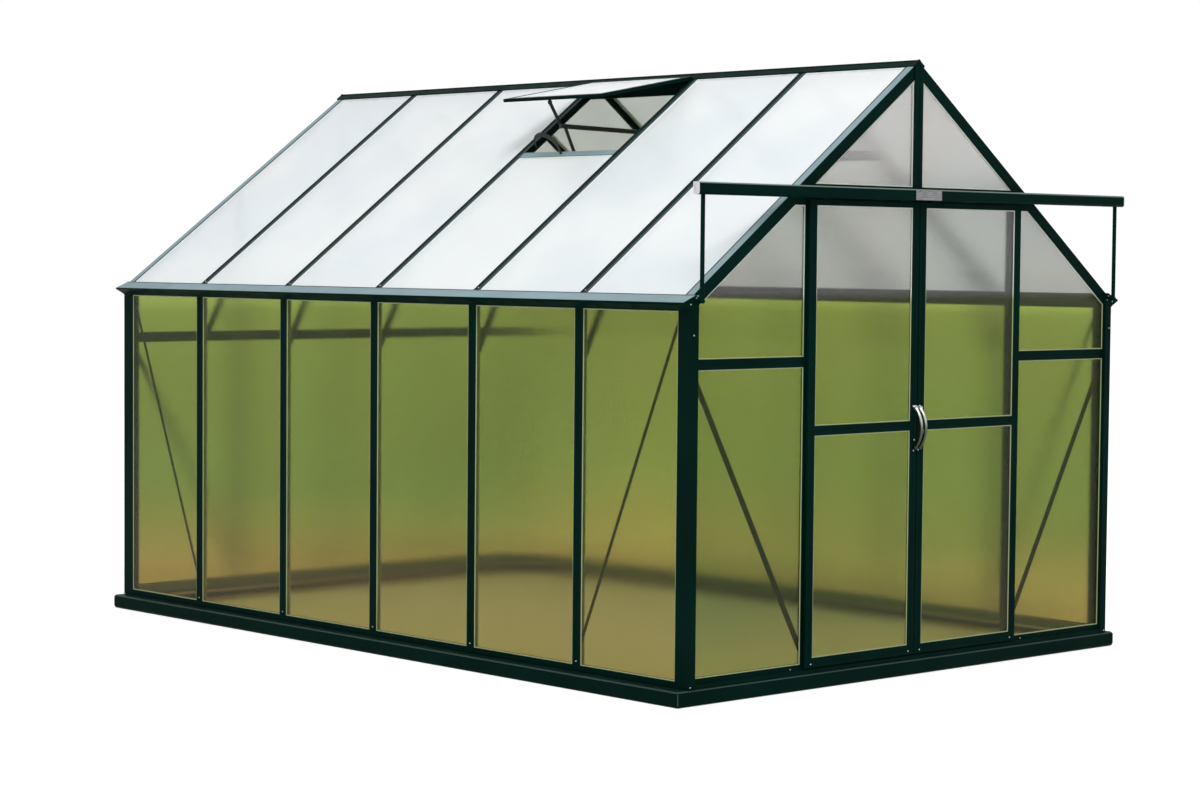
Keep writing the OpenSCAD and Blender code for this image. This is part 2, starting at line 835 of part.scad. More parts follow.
// One arm between two points of the slope's plane, with a round eye at each end
module opener_plate(a, b, y) {
    y_slab(y - opener_arm_t / 2, y + opener_arm_t / 2) {
        strip(a, b, opener_arm);
        for (end = [a, b]) translate(end) circle(d = opener_eye);
    }
}

// Curved spring plate that stands on the sill beside the arms
module opener_spring() {
    outer_r = 72;
    inner_r = 64;
    y = opener_y + outer_r + opener_eye / 2;
    u = vent_l + sill_cap / 2;
    x_run(u - opener_arm_t / 2, u + opener_arm_t / 2) difference() {
        translate([y, outer_r / 2]) circle(outer_r);
        translate([y + inner_r / 8, outer_r / 3]) circle(inner_r);
        translate([y - 2 * outer_r, fit - 2 * outer_r]) square([4 * outer_r, 2 * outer_r]);
    }
}

module vent_opener() {
    washer = 1;
    side = opener_block / 2 + washer + opener_arm_t / 2;
    foot = [vent_l - lip_w / 2 - opener_eye / 2 - fit, opener_eye / 2 - sill_d];
    head = flap_point(flap_l - vent_bar / 2, -opener_eye / 2 - fit);
    along = (opener_knee - opener_tail) / norm(opener_knee - opener_tail);
    block_a = opener_knee - opener_block * along;
    block_b = opener_knee + opener_arm * along;
    neck = opener_knee - opener_block / 2 * along;
    pin_l = opener_block + 3 * opener_arm_t;
    color("#15191a") left_slope() {
        opener_plate(foot, opener_knee, opener_y - side);
        opener_plate(opener_knee, head, opener_y + side);
        translate([opener_knee[0], opener_y + pin_l / 2, opener_knee[1]]) rotate([90, 0, 0])
            cylinder(h = pin_l, d = opener_arm / 2);
        y_slab(opener_y - opener_block / 2, opener_y + opener_block / 2) strip(block_a, block_b, opener_block);
        rod([opener_tail[0], opener_y, opener_tail[1]], [neck[0], opener_y, neck[1]], opener_tube);
        opener_spring();
    }
}

// Overhead door rail

module door_rail() {
    color(coat) front() x_run(-rail_l / 2, rail_l / 2) translate([rail_front, rail_z]) rail_profile();
}

module rail_ends() {
    color(bright) front() both_x() x_run(rail_l / 2, rail_l / 2 + rail_end_t) difference() {
        translate([rail_front, rail_z]) round_front([rail_d, rail_h], rail_r);
        for (k = [-1 : 1]) translate([rail_back + rail_d / 3, rail_z + rail_h / 2 + k * rail_h / 4])
            circle(d = rail_hole_d);
    }
}

// Angles that hang the rail from the header
module rail_brackets() {
    rail_top = rail_z + rail_h;
    color(coat) front() for (x = [-bracket_x, bracket_x]) x_run(x - bracket_w / 2, x + bracket_w / 2) {
        translate([gable_y, rail_top]) square([rail_front - gable_y - 3 * rail_t, bracket_t]);
        translate([gable_y, rail_top + bracket_t - bracket_leg]) square([bracket_t, bracket_leg]);
    }
}

// Rods from the rail's ends down to the gutter ends
module rail_struts() {
    color(coat) front() both_x() {
        translate([strut_x, strut_y, strut_foot_z]) cylinder(h = rail_z - strut_foot_z, d = strut_d);
        translate([strut_x, half_l, strut_foot_z]) rotate([-90, 0, 0])
            cylinder(h = strut_y + strut_d / 2 - half_l, d = strut_d);
    }
}

// Bare plate on the middle of the rail
module rail_plate() {
    color(bright) front() translate([-plate_w / 2, rail_front, rail_z + plate_edge])
        cube([plate_w, plate_t, rail_h - 2 * plate_edge]);
}

// Doors, drawn as the right door

module door_frame() {
    z_mid = door_mid_z - door_mid_rail / 2;
    x_in = door_x0 + stile_w;
    w_in = door_x1 - door_x0 - 2 * stile_w;
    low = [door_z0 + door_bottom_rail, z_mid];
    high = [z_mid + door_mid_rail, door_z1 - door_top_rail];
    g = groove_w;
    color(coat) difference() {
        y_slab(door_back, door_face) difference() {
            translate([door_x0, door_z0]) square([door_x1 - door_x0, door_z1 - door_z0]);
            for (zs = [low, high]) translate([x_in, zs[0]]) square([w_in, zs[1] - zs[0]]);
        }
        y_slab(door_face - pane_n - pane_t - fit, door_face - cap_t) for (zs = [low, high])
            translate([x_in - pane_lap, zs[0] - pane_lap])
                square([w_in + 2 * pane_lap, zs[1] - zs[0] + 2 * pane_lap]);
        y_slab(door_face - groove_d, door_face + groove_d) {
            for (x = [door_x0, door_x1 - stile_w]) translate([x + stile_w / 2 - g / 2, door_z0 - g])
                square([g, door_z1 - door_z0 + 2 * g]);
            for (z = [door_z0 + door_bottom_rail / 2, door_mid_z])
                translate([x_in + g, z - g / 2]) square([w_in - 2 * g, g]);
        }
    }
}

module door_panes() {
    z_mid = door_mid_z - door_mid_rail / 2;
    reach = pane_lap - pane_play;
    x_in = door_x0 + stile_w - reach;
    w_in = door_x1 - door_x0 - 2 * stile_w + 2 * reach;
    low = [door_z0 + door_bottom_rail - reach, z_mid + reach];
    high = [z_mid + door_mid_rail - reach, door_z1 - door_top_rail + reach];
    color(sheet) for (zs = [low, high]) y_slab(door_face - pane_n - pane_t, door_face - pane_n)
        translate([x_in, zs[0]]) square([w_in, zs[1] - zs[0]]);
}

// Bowed pull on two round feet
module door_handle() {
    chord = handle_l / 2;
    rise = handle_out - grip_d / 2 - foot_t / 2;
    bow = (chord * chord + rise * rise) / (2 * rise);
    reach = asin(chord / bow);
    x = door_x0 + handle_edge;
    color(bright) translate([x, door_face, handle_z]) {
        for (z = [-chord, chord]) translate([0, 0, z]) rotate([-90, 0, 0]) cylinder(h = foot_t, d = foot_d);
        translate([0, foot_t / 2 + rise - bow, 0]) rotate([0, -90, 0]) rotate([0, 0, 90 - reach])
            rotate_extrude(angle = 2 * reach) translate([bow, 0]) circle(d = grip_d);
    }
}

hanger_xs = [door_x0 + hanger_edge, door_x1 - hanger_edge];

// Plates that stand on the top rail behind the overhead rail
module door_hangers() {
    color(coat) for (x = hanger_xs) translate([x - hanger_w / 2, door_face - hanger_t, door_z1])
        cube([hanger_w, hanger_t, hanger_top - door_z1]);
}

// Grooved rollers on their axles, standing on the rail's lower flange
module door_rollers() {
    color("#2a2c2c") for (x = hanger_xs) translate([x, roller_y, roller_z]) rotate([90, 0, 0]) {
        translate([0, 0, -roller_w / 2]) cylinder(h = roller_w, d = roller_d);
        cylinder(h = roller_y - door_face, d = axle_d);
    }
}

module left() mirror([1, 0, 0]) front() children();

module left_door_frame() left() door_frame();

module left_door_panes() left() door_panes();

module left_door_handle() left() door_handle();

module left_door_hangers() left() door_hangers();

module left_door_rollers() left() door_rollers();

module right_door_frame() front() door_frame();

module right_door_panes() front() door_panes();

module right_door_handle() front() door_handle();

module right_door_hangers() front() door_hangers();

module right_door_rollers() front() door_rollers();

base_sides();
base_ends();
side_sills();
gable_sills();
corner_posts();
left_side_posts();
right_side_posts();
eave_gutters();
gutter_ends();
ridge();
ridge_ends();
left_roof_bars();
right_roof_bars();
gable_rafters();
front_king_post();
front_header();
door_posts();
sidelight_rails();
back_gable_posts();
back_gable_rails();
side_braces();
gable_braces();
knee_braces();
left_wall_panes();
right_wall_panes();
left_roof_panes();
right_roof_panes();
front_gable_panes();
back_gable_panes();
vent_sills();
left_vent_frame();
left_vent_pane();
right_vent_frame();
right_vent_pane();
vent_opener();
door_rail();
rail_ends();
rail_brackets();
rail_struts();
rail_plate();
left_door_frame();
left_door_panes();
left_door_handle();
left_door_hangers();
left_door_rollers();
right_door_frame();
right_door_panes();
right_door_handle();
right_door_hangers();
right_door_rollers();
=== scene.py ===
"""Looks of the greenhouse: coats, translucent sheets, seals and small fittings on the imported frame."""

import json
import math

import bmesh
import bpy
from mathutils import Matrix, Vector


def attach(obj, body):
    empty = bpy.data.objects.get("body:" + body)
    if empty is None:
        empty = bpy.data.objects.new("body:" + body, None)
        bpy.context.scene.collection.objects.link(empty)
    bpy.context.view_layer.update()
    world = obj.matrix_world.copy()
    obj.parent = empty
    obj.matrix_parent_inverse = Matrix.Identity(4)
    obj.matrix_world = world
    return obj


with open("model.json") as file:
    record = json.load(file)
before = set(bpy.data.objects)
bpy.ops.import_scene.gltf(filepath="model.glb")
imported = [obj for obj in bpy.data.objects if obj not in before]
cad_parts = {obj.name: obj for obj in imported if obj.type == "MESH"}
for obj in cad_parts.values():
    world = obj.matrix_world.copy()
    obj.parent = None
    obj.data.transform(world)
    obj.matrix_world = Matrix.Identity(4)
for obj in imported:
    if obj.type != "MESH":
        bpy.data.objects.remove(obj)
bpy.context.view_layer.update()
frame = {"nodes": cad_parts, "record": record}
nodes = frame["nodes"]
scene = bpy.context.scene

# Sizes shared with the frame, in metres
HALF_W = 1.2205
HALF_L = 1.824
BAY = 0.614
BAYS = 6
EAVE_H = 1.474
APEX_H = 2.365
EAVE_X = 1.2
EAVE_Z = 1.416
BASE_H = 0.06
BASE_R = 0.009
BASE_X = 1.2715
BAR_D = 0.036
CORNER_L = 0.07
SIDE_SILL_Z = 0.085
GABLE_SILL_Z = 0.096
GABLE_Y = 1.81
GABLE_POST_X = 0.592
GABLE_CAP = 0.048
DOOR_POST_CAP = 0.062
POST_CAP = 0.044
ROOF_CAP = 0.04
PANE_N = 0.0043
PANE_T = 0.006
CAP_T = 0.004
FIT = 0.0003
RIDGE_WING = 0.036
RIDGE_T = 0.004
RAFTER_D = 0.046
RAFTER_TOP = 0.04
VENT_L = 0.545
VENT_LAP = 0.015
VENT_BAR = 0.03
VENT_OPEN = math.radians(26.0)
SILL_CAP = 0.035
HEADER_Z = 1.8041
HEADER_H = 0.079
MID_RAIL_Z = 1.224
MID_RAIL_H = 0.038
DOOR_FACE = 1.828
DOOR_X0 = 0.0025
DOOR_X1 = 0.615
DOOR_Z0 = 0.082
DOOR_Z1 = 1.8251
STILE_W = 0.038
DOOR_BOTTOM_RAIL = 0.037
DOOR_TOP_RAIL = 0.021
DOOR_MID_RAIL = 0.036
DOOR_MID_Z = 0.968
RAIL_Z = 1.8301
RAIL_H = 0.045
RAIL_FRONT = 1.87
PLATE_W = 0.15
PLATE_T = 0.0015
PLATE_EDGE = 0.003

# Places that follow from them
PITCH = math.atan2(APEX_H - EAVE_H, EAVE_X)
SLOPE_L = EAVE_X / math.cos(PITCH)
INNER_X = HALF_W - BAR_D
POST_YS = [(k - BAYS / 2) * BAY for k in range(1, BAYS)]
FLAP_U = RIDGE_WING + FIT + RIDGE_T * math.tan(VENT_OPEN)
FLAP_L = VENT_L + VENT_LAP - FLAP_U
FLAP_W = BAY - ROOF_CAP + 2 * VENT_LAP
SHEET_BACK = PANE_N + PANE_T

SIDES = ((-1, "left"), (1, "right"))
ENDS = ((-1, "front"), (1, "back"))
UP = Vector((0.0, 0.0, 1.0))
FRONT = Vector((0.0, -1.0, 0.0))

# Shader building blocks

WHITE = (1.0, 1.0, 1.0)
EVEN = (1.0, 1.0, 1.0)
UPRIGHT = (6.0, 6.0, 0.12)
ALONG_X = (0.5, 12.0, 12.0)
CLOUD_LOW = 0.3
CLOUD_HIGH = 0.7
SHEET_TOP = 2.4


def new_material(name, colour, roughness, **settings):
    """A Principled material; returns it with its node tree and shader."""
    material = bpy.data.materials.new(name)
    material.use_nodes = True
    tree = material.node_tree
    shader = tree.nodes["Principled BSDF"]
    shader.inputs["Base Color"].default_value = (*colour, 1.0)
    shader.inputs["Roughness"].default_value = roughness
    for key, value in settings.items():
        shader.inputs[key.replace("_", " ")].default_value = value
    material.diffuse_color = (*colour, 1.0)
    return material, tree, shader


def mean_colour(dark, light):
    return tuple((a + b) / 2 for a, b in zip(dark, light))


def dimmed(colour, share):
    return tuple(share * value for value in colour)


def calc(tree, operation, *values):
    """Result of a sum on numbers and sockets."""
    node = tree.nodes.new("ShaderNodeMath")
    node.operation = operation
    for socket, value in zip(node.inputs, values):
        if isinstance(value, float):
            socket.default_value = value
        else:
            tree.links.new(value, socket)
    return node.outputs["Value"]


def span(tree, value, low, high):
    """Zero at one value and one at another."""
    node = tree.nodes.new("ShaderNodeMapRange")
    node.inputs["From Min"].default_value = low
    node.inputs["From Max"].default_value = high
    tree.links.new(value, node.inputs["Value"])
    return node.outputs["Result"]


def ramp(tree, factor, stops):
    """Colour ramp over a factor; a stop is its place and its colour or grey level."""
    node = tree.nodes.new("ShaderNodeValToRGB")
    elements = node.color_ramp.elements
    while len(elements) < len(stops):
        elements.new(1.0)
    for element, (place, value) in zip(elements, stops):
        rgb = value if isinstance(value, tuple) else (value, value, value)
        element.position = place
        element.color = (*rgb, 1.0)
    tree.links.new(factor, node.inputs["Fac"])
    return node.outputs["Color"]


def blend(tree, kind, amount, a, b):
    """Mixes two colours; the amount is a number or a socket."""
    node = tree.nodes.new("ShaderNodeMix")
    node.data_type = "RGBA"
    node.blend_type = kind
    if isinstance(amount, float):
        node.inputs[0].default_value = amount
    else:
        tree.links.new(amount, node.inputs[0])
    tree.links.new(a, node.inputs[6])
    tree.links.new(b, node.inputs[7])
    return node.outputs[2]


def own_axes(tree):
    """The object's own coordinates, one socket to an axis."""
    place = tree.nodes.new("ShaderNodeTexCoord")
    split = tree.nodes.new("ShaderNodeSeparateXYZ")
    tree.links.new(place.outputs["Object"], split.inputs["Vector"])
    return split.outputs


def inside(tree, axis, low, high):
    """One nearer the middle of the house than a distance along an axis, fading to zero at another."""
    return span(tree, calc(tree, "ABSOLUTE", own_axes(tree)[axis]), high, low)


def by_height(tree, stops):
    """Colour ramp over the height of a sheet, a seal or a handle."""
    height = span(tree, own_axes(tree)["Z"], 0.0, SHEET_TOP)
    return ramp(tree, height, [(z / SHEET_TOP, value) for z, value in stops])


def upward(tree):
    """How far a face looks up: one for level faces, zero for upright ones."""
    geometry = tree.nodes.new("ShaderNodeNewGeometry")
    split = tree.nodes.new("ShaderNodeSeparateXYZ")
    tree.links.new(geometry.outputs["Normal"], split.inputs["Vector"])
    return split.outputs["Z"]


def noise(tree, stretch, scale, detail=3.0):
    """Noise over the object's own coordinates, stretched along its axes."""
    place = tree.nodes.new("ShaderNodeTexCoord")
    mapping = tree.nodes.new("ShaderNodeMapping")
    mapping.inputs["Scale"].default_value = stretch
    texture = tree.nodes.new("ShaderNodeTexNoise")
    texture.inputs["Scale"].default_value = scale
    texture.inputs["Detail"].default_value = detail
    tree.links.new(place.outputs["Object"], mapping.inputs["Vector"])
    tree.links.new(mapping.outputs["Vector"], texture.inputs["Vector"])
    return texture.outputs["Fac"]


def clouds(tree, dark, light, scale, detail=3.0, stretch=EVEN):
    """Noise between two colours or two grey levels."""
    return ramp(tree, noise(tree, stretch, scale, detail), [(CLOUD_LOW, dark), (CLOUD_HIGH, light)])


def dress(tree, shader, colour, roughness):
    tree.links.new(colour, shader.inputs["Base Color"])
    tree.links.new(roughness, shader.inputs["Roughness"])


def add_bump(tree, shader, height, strength, distance):
    node = tree.nodes.new("ShaderNodeBump")
    node.inputs["Strength"].default_value = strength
    node.inputs["Distance"].default_value = distance
    tree.links.new(height, node.inputs["Height"])
    tree.links.new(node.outputs["Normal"], shader.inputs["Normal"])


def add_ribs(tree, shader, spread):
    """Turns the surface at random to both sides, as upright ribs do that are too fine to see."""
    place = tree.nodes.new("ShaderNodeTexCoord")
    chance = tree.nodes.new("ShaderNodeTexWhiteNoise")
    split = tree.nodes.new("ShaderNodeSeparateColor")
    tree.links.new(place.outputs["Object"], chance.inputs["Vector"])
    tree.links.new(chance.outputs["Color"], split.inputs["Color"])
    red, green, blue = split.outputs
    total = calc(tree, "ADD", calc(tree, "ADD", red, green), blue)
    amount = tree.nodes.new("ShaderNodeMapRange")
    amount.inputs["From Max"].default_value = 3.0
    amount.inputs["To Min"].default_value = -spread / 2
    amount.inputs["To Max"].default_value = spread / 2
    tree.links.new(total, amount.inputs["Value"])
    geometry = tree.nodes.new("ShaderNodeNewGeometry")
    across = tree.nodes.new("ShaderNodeVectorMath")
    across.operation = "CROSS_PRODUCT"
    across.inputs[1].default_value = UP
    tree.links.new(geometry.outputs["Normal"], across.inputs[0])
    lean = tree.nodes.new("ShaderNodeVectorMath")
    lean.operation = "SCALE"
    tree.links.new(across.outputs["Vector"], lean.inputs[0])
    tree.links.new(amount.outputs["Result"], lean.inputs["Scale"])
    turned = tree.nodes.new("ShaderNodeVectorMath")
    tree.links.new(geometry.outputs["Normal"], turned.inputs[0])
    tree.links.new(lean.outputs["Vector"], turned.inputs[1])
    unit = tree.nodes.new("ShaderNodeVectorMath")
    unit.operation = "NORMALIZE"
    tree.links.new(turned.outputs["Vector"], unit.inputs[0])
    tree.links.new(unit.outputs["Vector"], shader.inputs["Normal"])


# Kinds of material

COAT = {"roughness": 0.36, "IOR": 1.15, "Specular_IOR_Level": 0.14}
DUST_H = 0.02
DUST_STOPS = [(0.0, 0.12), (1.0, 0.0)]
DUST_PATCHES = [(0.45, 0.0), (0.8, 1.0)]
# upward faces, which take a painted reflection
SHEEN_TOP_STOPS = [(0.62, 0.0), (0.74, 1.0)]
# bends between upright and upward faces, which take a painted highlight
BEND_HIGHLIGHTS = [(0.3, 0.0), (0.5, 1.0), (0.86, 1.0), (0.97, 0.1)]
DRIFT_LOW = 0.38
DRIFT_HIGH = 0.62
SHEET_UNEVEN = 0.02
PLASTIC_UNEVEN = 0.07
# place across a bar's cap where its painted reflection reaches the lighter green
CAP_BRIGHT = 0.2


def finish_coat(tree, shader, colour):
    """Colour, uneven gloss and fine grain of a powder coat."""
    dress(tree, shader, colour, clouds(tree, 0.3, 0.46, scale=14.0, detail=4.0))
    add_bump(tree, shader, noise(tree, EVEN, scale=900.0, detail=1.0), strength=0.12, distance=0.0004)


def coat_material(name, dark, light, top=None, top_stops=None, dust=None, inner=None):
    """Satin powder coat with a cloudy colour; top is a painted sky reflection on upward faces.

    Inner is painted light, the light the sheets scatter over the parts behind them: a colour and its limits,
    each an axis with two distances, within which it covers the coat.
    """
    material, tree, shader = new_material(name, mean_colour(dark, light), **COAT)
    colour = clouds(tree, dark, light, scale=2.5)
    # painted sky reflection, paler on upward faces
    if top:
        painted_light = clouds(tree, dimmed(top, 0.86), top, scale=6.0)
        colour = blend(tree, "MIX", ramp(tree, upward(tree), top_stops), colour, painted_light)
    if dust:
        low = ramp(tree, span(tree, own_axes(tree)["Z"], 0.0, DUST_H), DUST_STOPS)
        patches = ramp(tree, noise(tree, EVEN, scale=30.0, detail=5.0), DUST_PATCHES)
        soil = clouds(tree, dimmed(dust, 0.8), dust, scale=8.0)
        colour = blend(tree, "MIX", blend(tree, "MULTIPLY", 1.0, low, patches), colour, soil)
    # painted light that the sheets scatter over the parts behind them
    if inner:
        painted_light, limits = inner
        scattered_light = clouds(tree, dimmed(painted_light, 0.88), painted_light, scale=9.0)
        cover = inside(tree, *limits[0])
        for limit in limits[1:]:
            cover = blend(tree, "MULTIPLY", 1.0, cover, inside(tree, *limit))
        colour = blend(tree, "MIX", cover, colour, scattered_light)
    finish_coat(tree, shader, colour)
    return material


def bar_material(name, dark, light, painted_light):
    """Powder coat of the roof bars, whose caps carry a painted reflection that fades across their width."""
    material, tree, shader = new_material(name, dark, **COAT)
    phase = calc(tree, "MULTIPLY_ADD", own_axes(tree)["Y"], 1.0 / BAY, BAYS + 0.5)
    half = ROOF_CAP / 2 / BAY
    # painted reflection: grey on the cap's front side, fading to the dark coat at its back
    cap_sheen_stops = [(0.5 - half, painted_light), (0.5 + CAP_BRIGHT * half, light), (0.5 + half, dark)]
    cap = ramp(tree, calc(tree, "FRACT", phase), cap_sheen_stops)
    cloud = clouds(tree, dark, light, scale=2.5)
    finish_coat(tree, shader, blend(tree, "MIX", ramp(tree, upward(tree), SHEEN_TOP_STOPS), cloud, cap))
    return material


def sheet_material(name, colours, clearness, roughness, tint, spread):
    """Translucent sheet: colour and clearness by height, soft clouds, faint streaks and fine upright ribs."""
    material, tree, shader = new_material(name, colours[-1][1], roughness, IOR=1.2)
    tree.links.new(by_height(tree, clearness), shader.inputs["Transmission Weight"])
    # soft clouds in the colour; on the roof they are painted reflections
    drift = ramp(tree, noise(tree, EVEN, scale=1.7, detail=2.0), [(DRIFT_LOW, tint), (DRIFT_HIGH, WHITE)])
    streaks = clouds(tree, 0.985, 1.0, scale=14.0, detail=4.0, stretch=UPRIGHT)
    clouded = blend(tree, "MULTIPLY", 1.0, by_height(tree, colours), drift)
    colour = blend(tree, "MULTIPLY", 1.0, clouded, streaks)
    dress(tree, shader, colour, clouds(tree, roughness - SHEET_UNEVEN, roughness + SHEET_UNEVEN, scale=5.0))
    add_ribs(tree, shader, spread)
    return material


def metal_material(name, dark, light, stretch, low, high):
    """Bright metal with brushed streaks in its colour, gloss and surface."""
    material, tree, shader = new_material(name, mean_colour(dark, light), (low + high) / 2, Metallic=1.0)
    brush = {"scale": 60.0, "detail": 4.0, "stretch": stretch}
    dress(tree, shader, clouds(tree, dark, light, **brush), clouds(tree, low, high, **brush))
    add_bump(tree, shader, noise(tree, stretch, scale=300.0, detail=2.0), strength=0.06, distance=0.0003)
    return material


def painted_reflection_metal(name, colours, low, high):
    """Bright metal with a painted reflection by height, bright above and dark below, and upright brushed
    streaks.
    """
    material, tree, shader = new_material(name, colours[-1][1], (low + high) / 2, Metallic=1.0)
    brush = clouds(tree, 0.88, 1.0, scale=60.0, detail=4.0, stretch=UPRIGHT)
    colour = blend(tree, "MULTIPLY", 1.0, by_height(tree, colours), brush)
    dress(tree, shader, colour, clouds(tree, low, high, scale=40.0, stretch=UPRIGHT))
    add_bump(tree, shader, noise(tree, UPRIGHT, scale=300.0, detail=2.0), strength=0.06, distance=0.0003)
    return material


def finish_plastic(tree, shader, colour, roughness, grain):
    """Colour, uneven gloss and fine grain of plastic or rubber."""
    gloss = clouds(tree, roughness - PLASTIC_UNEVEN, roughness + PLASTIC_UNEVEN, scale=25.0)
    dress(tree, shader, colour, gloss)
    add_bump(tree, shader, noise(tree, EVEN, grain, detail=2.0), strength=0.15, distance=0.0004)


def plastic_material(name, dark, light, roughness, grain):
    """Moulded plastic or rubber with a cloudy colour."""
    material, tree, shader = new_material(name, mean_colour(dark, light), roughness, IOR=1.45)
    finish_plastic(tree, shader, clouds(tree, dark, light, scale=40.0), roughness, grain)
    return material


def seal_material(name, colours, roughness, grain):
    """Soft pale seal, coloured by height."""
    material, tree, shader = new_material(name, colours[-1][1], roughness, IOR=1.3)
    speck = clouds(tree, 0.88, 1.0, scale=40.0)
    colour = blend(tree, "MULTIPLY", 1.0, by_height(tree, colours), speck)
    finish_plastic(tree, shader, colour, roughness, grain)
    return material


# Coats

COAT_DARK = (0.0002, 0.009, 0.0065)
COAT_LIGHT = (0.0005, 0.0135, 0.0105)
# painted highlight on the seams down the base's corners
SEAM_HIGHLIGHT_DARK = (0.05, 0.065, 0.06)
SEAM_HIGHLIGHT_LIGHT = (0.075, 0.095, 0.09)
# painted reflection on the roof bars' caps
CAP_LIGHT = (0.006, 0.02, 0.0175)
CAP_REFLECTION = (0.07, 0.1, 0.1)
# painted sky reflection on upward faces
SKY_SHEEN_TOP = (0.24, 0.34, 0.365)
# painted highlights along the bends of the base and of the rail
BASE_EDGE_HIGHLIGHT = (0.04, 0.065, 0.06)
RAIL_EDGE_HIGHLIGHT = (0.15, 0.2, 0.18)
SOIL = (0.07, 0.066, 0.05)
# painted light that the sheets scatter over the posts, sills and base behind them
SCATTERED_LIGHT_GREY = (0.38, 0.41, 0.28)
SCATTERED_LIGHT_GREEN = (0.12, 0.18, 0.085)
SCATTERED_LIGHT_TAN = (0.5, 0.45, 0.27)

FADE = 0.001
BASE_SKIN = 0.005
BEHIND_SIDES = ("X", HALF_W - SHEET_BACK - FADE, HALF_W - SHEET_BACK)
BEHIND_GABLES = ("Y", GABLE_Y - SHEET_BACK - FADE, GABLE_Y - SHEET_BACK)
IN_BASE = [
    ("X", BASE_X - BASE_SKIN - FADE, BASE_X - BASE_SKIN),
    ("Y", HALF_L - BASE_SKIN - FADE, HALF_L - BASE_SKIN),
    ("Z", 0.05, 0.057),
]

frame_coat = coat_material("frame_coat", COAT_DARK, COAT_LIGHT)
# painted sky reflection on the upward faces of rafters, gutters and vent sills
sky_sheen_coat = coat_material("sky_sheen_coat", COAT_DARK, COAT_LIGHT, SKY_SHEEN_TOP, SHEEN_TOP_STOPS)
# posts, sills and the base take painted light where they stand behind the sheets
post_coat = coat_material("post_coat", COAT_DARK, COAT_LIGHT, inner=(SCATTERED_LIGHT_GREY, [BEHIND_SIDES]))
back_coat = coat_material("back_coat", COAT_DARK, COAT_LIGHT, inner=(SCATTERED_LIGHT_GREY, [BEHIND_GABLES]))
sill_coat = coat_material("sill_coat", COAT_DARK, COAT_LIGHT, inner=(SCATTERED_LIGHT_GREEN, [BEHIND_SIDES, BEHIND_GABLES]))
# the base and the rail carry painted highlights along their bends
base_coat = coat_material("base_coat", COAT_DARK, COAT_LIGHT, BASE_EDGE_HIGHLIGHT, BEND_HIGHLIGHTS, SOIL, (SCATTERED_LIGHT_TAN, IN_BASE))
rail_coat = coat_material("rail_coat", COAT_DARK, COAT_LIGHT, RAIL_EDGE_HIGHLIGHT, BEND_HIGHLIGHTS)
# seams with a painted highlight
seam_highlight_coat = coat_material("seam_highlight_coat", SEAM_HIGHLIGHT_DARK, SEAM_HIGHLIGHT_LIGHT)
# roof bars with a painted reflection across their caps
bar_coat = bar_material("bar_coat", COAT_DARK, CAP_LIGHT, CAP_REFLECTION)

# Sheets, each with its colours and its clearness by height

# the colours paint in the view through the sheets: tan ground low down, olive greenery above, and on the
# gables a paler grey above the far eave, painted light from the far roof
OLIVE = (0.545, 0.63, 0.26)
TAN = (0.75, 0.62, 0.29)
TAN_MIX = (0.66, 0.605, 0.265)
GABLE_TAN = (0.64, 0.58, 0.255)
GABLE_MIX = (0.46, 0.5, 0.21)
GABLE_OLIVE = (0.38, 0.48, 0.195)
GREY = (0.885, 0.88, 0.88)
ROOF_LOW = (0.95, 0.985, 1.0)
ROOF_HIGH = (0.965, 0.99, 1.0)
WALL_TINT = (1.0, 0.965, 0.96)
# bluish clouds on the roof, painted reflections
ROOF_REFLECTION_TINT = (0.93, 0.955, 0.98)
WALL_COLOURS = [(0.08, TAN), (0.25, TAN), (0.4, TAN_MIX), (0.62, OLIVE), (1.45, OLIVE)]
WALL_CLEARNESS = [(0.1, 0.97), (1.5, 0.97)]
GABLE_COLOURS = [
    (0.1, GABLE_TAN), (0.3, GABLE_MIX), (0.5, GABLE_OLIVE), (1.45, OLIVE), (1.48, GREY), (2.3, GREY),
]
GABLE_CLEARNESS = [(1.45, 0.97), (1.48, 0.95), (1.8, 0.93), (2.0, 0.76)]
ROOF_COLOURS = [(1.4, ROOF_LOW), (2.3, ROOF_HIGH)]
LEFT_CLEARNESS = [(1.4, 0.36), (2.3, 0.36)]
RIGHT_CLEARNESS = [(1.4, 0.55), (2.3, 0.55)]
WALL_RIBS = {"roughness": 0.05, "tint": WALL_TINT, "spread": 0.5}
ROOF_RIBS = {"roughness": 0.2, "tint": ROOF_REFLECTION_TINT, "spread": 0.3}

wall_sheet = sheet_material("wall_sheet", WALL_COLOURS, WALL_CLEARNESS, **WALL_RIBS)
gable_sheet = sheet_material("gable_sheet", GABLE_COLOURS, GABLE_CLEARNESS, **WALL_RIBS)
roof_sheet = sheet_material("roof_sheet", ROOF_COLOURS, LEFT_CLEARNESS, **ROOF_RIBS)
far_roof_sheet = sheet_material("far_roof_sheet", ROOF_COLOURS, RIGHT_CLEARNESS, **ROOF_RIBS)

# Metal, plastic and seals

# painted reflection on the handles: bright at the top, dark lower down
HANDLE_REFLECTIONS = [
    (0.88, (0.07, 0.08, 0.055)),
    (0.945, (0.1, 0.11, 0.08)),
    (0.965, (0.22, 0.24, 0.2)),
    (0.99, (0.52, 0.55, 0.52)),
    (1.03, (0.68, 0.7, 0.68)),
]
# the seals follow that painted view: olive below the far eave, paler above
SEAL_LOW = (0.33, 0.38, 0.2)
SEAL_HIGH = (0.6, 0.64, 0.58)
SEAL_COLOURS = [(0.1, SEAL_LOW), (1.45, SEAL_LOW), (1.48, SEAL_HIGH), (2.3, SEAL_HIGH)]

